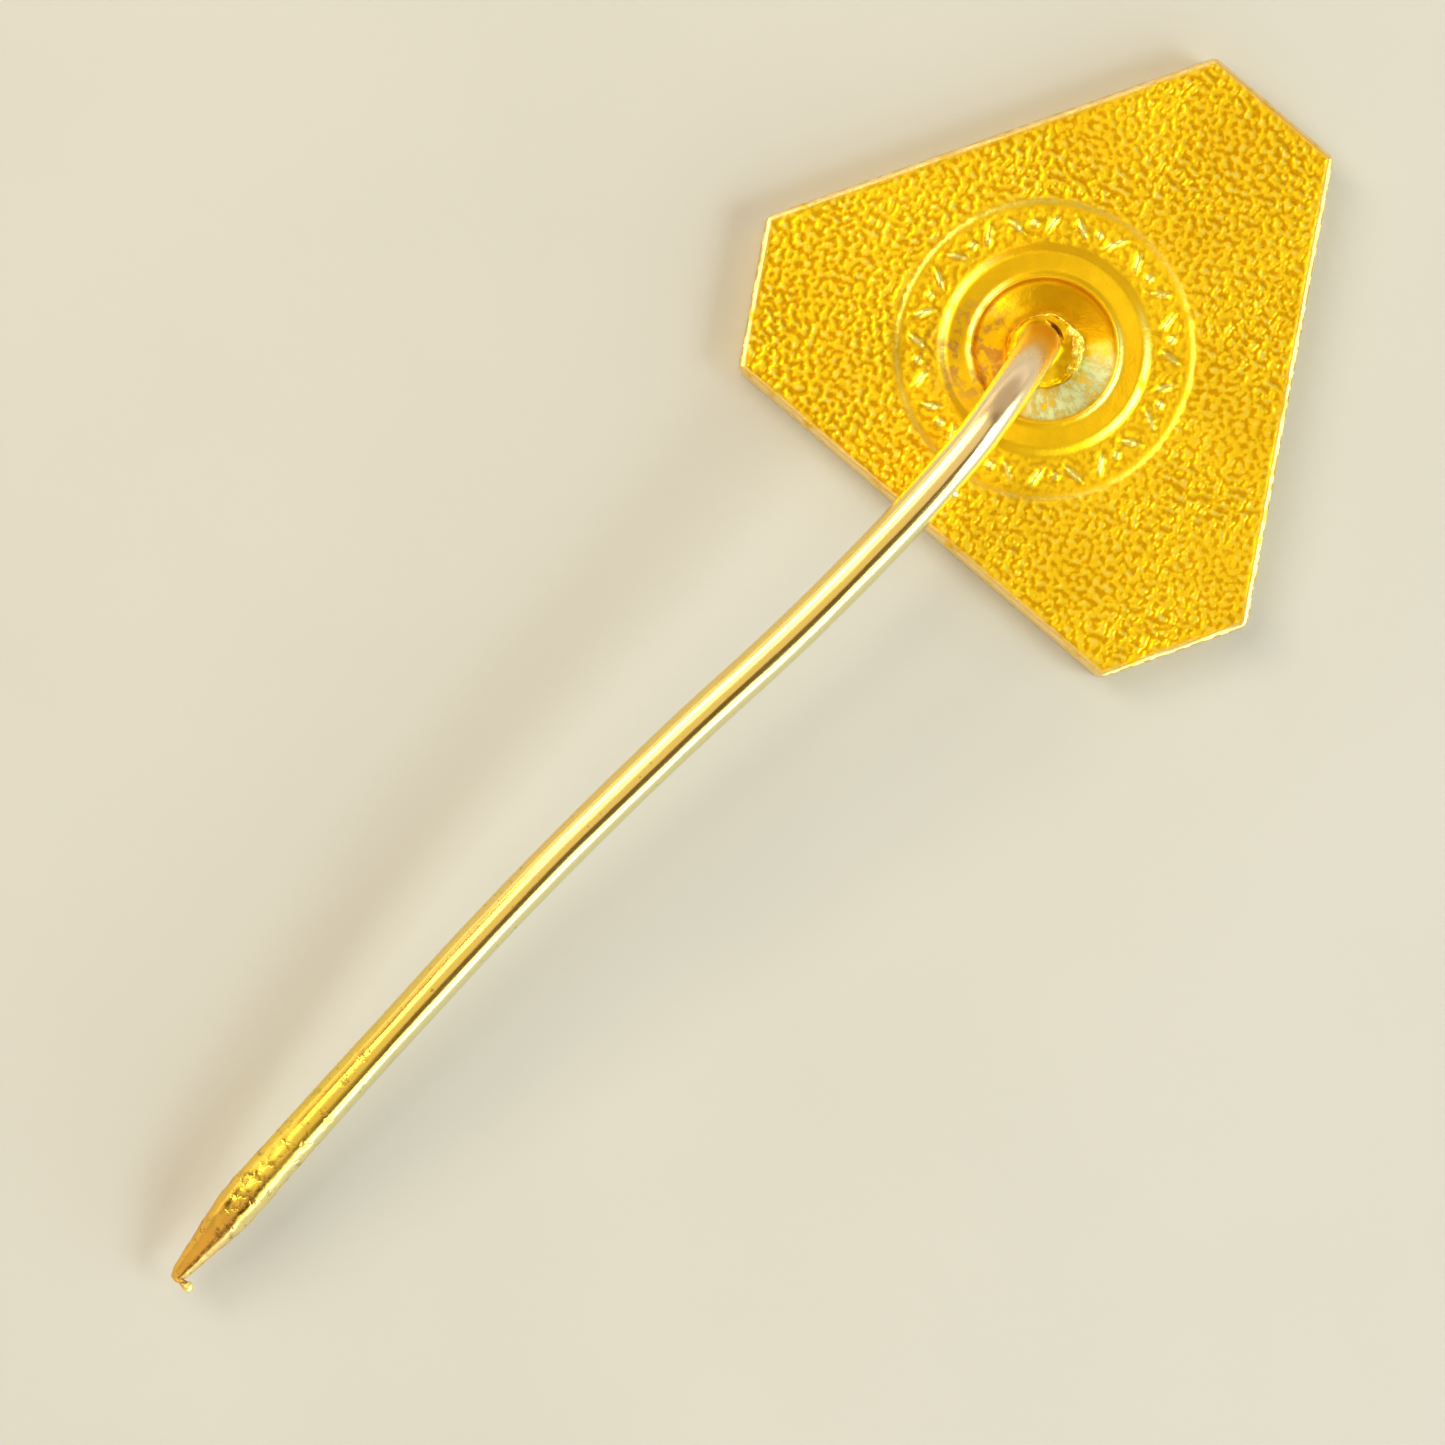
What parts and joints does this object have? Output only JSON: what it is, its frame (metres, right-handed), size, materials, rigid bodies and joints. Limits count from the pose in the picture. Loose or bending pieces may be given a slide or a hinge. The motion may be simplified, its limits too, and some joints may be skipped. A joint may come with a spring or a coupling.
{
  "type": "stick pin badge",
  "caption": "Lapel stick pin: a truncated-triangle gilt badge plate, enamelled on its front, with a bent needle soldered into a struck dish on its back.",
  "frame": {"origin": "middle of the badge's front face, at the centre of its flat medallion; the badge lies face down", "axes": "+Z out of the badge's back; -Y the way the needle runs, which is down when worn; +X to the right as the back is looked at with the needle pointing down"},
  "size_m": [0.0188, 0.0482, 0.0056],
  "materials": {
    "gilt_plate": "struck and gilded, orange-peel grain on the back",
    "gilt_wire": "drawn wire, thinly gilded and polished, worn at the point",
    "gilt_solder": "soft solder under the gilding, slightly rough",
    "enamel_blue": "gloss stoved enamel",
    "enamel_white": "gloss stoved enamel",
    "enamel_red": "gloss stoved enamel"
  },
  "bodies": {
    "root": {"badge_plate": "gilt_plate", "needle": "gilt_wire", "solder_fillet": "gilt_solder", "enamel_bottom_panel": "enamel_blue", "enamel_right_panel": "enamel_blue", "enamel_left_panel": "enamel_blue", "enamel_top_corner": "enamel_white", "enamel_right_corner": "enamel_white", "enamel_left_corner": "enamel_white", "enamel_ring": "enamel_red"}
  },
  "joints": []
}
